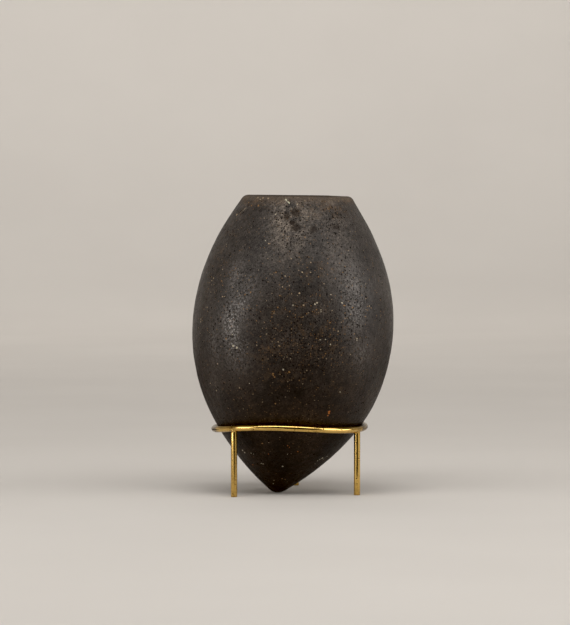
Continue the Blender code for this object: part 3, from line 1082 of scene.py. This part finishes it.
def make_sweep(paper):
    profile = [(share * SWEEP_FLAT_RADIUS, 0.0) for share in (0.1, 0.4, 0.7)]
    for turn in np.linspace(0, math.pi / 2, SWEEP_BEND_STEPS + 1):
        reach = SWEEP_FLAT_RADIUS + SWEEP_BEND_RADIUS * math.sin(turn)
        profile.append((reach, SWEEP_BEND_RADIUS * (1 - math.cos(turn))))
    profile.append((profile[-1][0], SWEEP_TOP))
    turns = np.linspace(0, 2 * math.pi, SWEEP_SEGMENTS, endpoint=False)
    places = np.array([
        np.column_stack((r * np.sin(turns), r * np.cos(turns), np.full(SWEEP_SEGMENTS, z)))
        for r, z in profile
    ])
    mesh = grid_mesh("sweep", places, ((0.0, 0.0, 0.0), None))
    mesh.materials.append(paper)
    sweep = bpy.data.objects.new("sweep", mesh)
    bpy.context.scene.collection.objects.link(sweep)


# Each softbox: place, the point it faces, width and height in metres, power in watts, spread in degrees.
SOFTBOXES = {
    "overhead": ((-0.02, -0.80, 1.18), (0, -0.08, 0), 2.15, 0.55, 13.3, 180),
    "top": ((-0.03, -0.25, 1.50), (0, 0, 0), 0.5, 0.5, 3.6, 180),
    "left": ((-1.27, -0.34, 0.33), (0, 0, 0.07), 0.6, 0.60, 3.6, 180),
    "right": ((1.25, -0.38, 0.50), (0, 0, 0.07), 0.75, 1.0, 7.0, 180),
    "behind": ((-0.25, 1.4, 2.4), (-0.1, 2.8, 0.75), 2.6, 0.8, 32.0, 160),
}
WITHOUT_HIGHLIGHT = ("top",)
SOFTBOX_COLOUR = (1.0, 0.985, 0.965)
WORLD_COLOUR = (0.04, 0.039, 0.0375)
BLACK_LEVEL = (0.0065, 0.0068, 0.0068)  # what the picture shows as black

# Cards that nothing but reflections shows, as a studio sets them out of the picture: the corners of
# each, in metres. Five lie on the floor, one of which glows, for the bright line down the left leg.
# Two stand, in front and behind. Three glow beside the softboxes, for one unbroken line along the ring.
BLACK_CARDS = {
    "card_front_left": ((-0.20, -0.35), (-0.02, -0.35), (-0.02, -1.3), (-0.35, -1.3)),
    "card_front_right": ((-0.02, -0.105), (0.11, -0.105), (0.90, -0.90), (0.90, -1.3), (-0.02, -1.3)),
    "card_left": ((-0.50, 0.12), (-0.08, 0.12), (-0.08, 0.70), (-0.50, 0.70)),
    "card_right": ((0.08, 0.22), (0.50, 0.22), (0.50, 0.70), (0.08, 0.70)),
}
BRIGHT_CARD = ((-0.30, -0.25), (-0.37, -0.12), (-0.50, -0.15), (-0.41, -0.34))
CARD_HEIGHT = 0.002
FRONT_CARD = ((-1.3, -1.55, 0.06), (1.3, -1.55, 0.06), (1.3, -1.55, 0.95), (-1.3, -1.55, 0.95))
GREY_CARD = ((-0.9, 0.60, 0.19), (0.9, 0.60, 0.19), (0.9, 0.60, 0.80), (-0.9, 0.60, 0.80))
GLOWING_LINKS = {
    "card_link_left": ((-0.82, -0.61, 1.1), (-1.01, -0.75, 0.82), (-1.33, -0.68, 0.13), (-1.22, -0.62, 0.61)),
    "card_link_right": ((0.81, -0.61, 1.10), (1.00, -0.76, 0.82), (1.25, -0.80, 0.21), (1.05, -0.67, 0.84)),
    "card_link_side": ((1.35, -0.04, 0.12), (1.31, 0.33, 0.12), (1.31, 0.33, 0.48), (1.35, -0.04, 0.48)),
}
CARD_BLACK = (0.02, 0.02, 0.02)
CARD_GREY = (0.30, 0.29, 0.275)
CARD_ROUGHNESS = 0.9
CARD_GLOW = 7.0
LINK_GLOW = 3.3


def make_cards():
    black, grey = Shader("black_card"), Shader("grey_card")
    for shader, colour in ((black, CARD_BLACK), (grey, CARD_GREY)):
        shader.principled.inputs["Base Color"].default_value = (*colour, 1)
        shader.principled.inputs["Roughness"].default_value = CARD_ROUGHNESS
    bright, link = Shader("bright_card"), Shader("link_card")
    for shader, glow in ((bright, CARD_GLOW), (link, LINK_GLOW)):
        shader.principled.inputs["Emission Color"].default_value = (1, 1, 1, 1)
        shader.principled.inputs["Emission Strength"].default_value = glow
    cards = [(name, corners, black) for name, corners in BLACK_CARDS.items()]
    cards.append(("card_bright", BRIGHT_CARD, bright))
    cards = [(name, [(*corner, CARD_HEIGHT) for corner in corners], s) for name, corners, s in cards]
    cards.append(("card_front", FRONT_CARD, black))
    cards.append(("card_behind", GREY_CARD, grey))
    cards.extend((name, corners, link) for name, corners in GLOWING_LINKS.items())
    for name, corners, shader in cards:
        mesh = bpy.data.meshes.new(name)
        mesh.from_pydata(corners, [], [tuple(range(len(corners)))])
        mesh.materials.append(shader.material)
        card = bpy.data.objects.new(name, mesh)
        card.visible_camera = False
        card.visible_diffuse = False
        card.visible_transmission = False
        card.visible_volume_scatter = False
        card.visible_shadow = False
        bpy.context.scene.collection.objects.link(card)


def make_studio():
    for name, (place, aim, width, height, power, spread_deg) in SOFTBOXES.items():
        light = bpy.data.lights.new(name, "AREA")
        light.shape = "RECTANGLE"
        light.size = width
        light.size_y = height
        light.energy = power
        light.spread = math.radians(spread_deg)
        light.color = SOFTBOX_COLOUR
        box = bpy.data.objects.new(name, light)
        box.location = place
        facing = Vector(aim) - Vector(place)
        box.rotation_euler = facing.to_track_quat("-Z", "Y").to_euler()
        box.visible_camera = False
        box.visible_glossy = name not in WITHOUT_HIGHLIGHT
        bpy.context.scene.collection.objects.link(box)
    world = bpy.data.worlds.new("studio")
    bpy.context.scene.world = world
    world.use_nodes = True
    world.node_tree.nodes["Background"].inputs["Color"].default_value = (*WORLD_COLOUR, 1)
    view = bpy.context.scene.view_settings
    view.view_transform = "Standard"
    view.use_curve_mapping = True
    view.curve_mapping.black_level = BLACK_LEVEL
    view.curve_mapping.update()


def make_camera():
    camera = bpy.data.cameras.new("camera")
    camera.lens = CAMERA_LENS_MM
    camera.sensor_width = SENSOR_MM
    camera.clip_start = CAMERA_SEES_FROM
    camera.clip_end = CAMERA_SEES_TO
    seat = bpy.data.objects.new("camera", camera)
    seat.location = CAMERA_PLACE
    seat.rotation_euler = Euler((math.pi / 2 - CAMERA_PITCH, 0, 0))
    bpy.context.scene.collection.objects.link(seat)
    bpy.context.scene.camera = seat


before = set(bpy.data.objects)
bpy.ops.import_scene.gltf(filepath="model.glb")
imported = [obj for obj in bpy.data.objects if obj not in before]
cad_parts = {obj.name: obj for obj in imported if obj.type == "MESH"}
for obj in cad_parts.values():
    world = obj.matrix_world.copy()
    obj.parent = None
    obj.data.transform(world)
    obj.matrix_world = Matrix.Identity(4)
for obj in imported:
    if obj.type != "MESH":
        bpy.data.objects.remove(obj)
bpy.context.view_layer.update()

make_camera()
make_jar(clay_material())
brass = brass_material()
make_ring(brass)
for leg_name, leg_azimuth in LEG_AZIMUTHS.items():
    make_leg(leg_name, leg_azimuth, brass)
make_sweep(sweep_material())
make_cards()
make_studio()
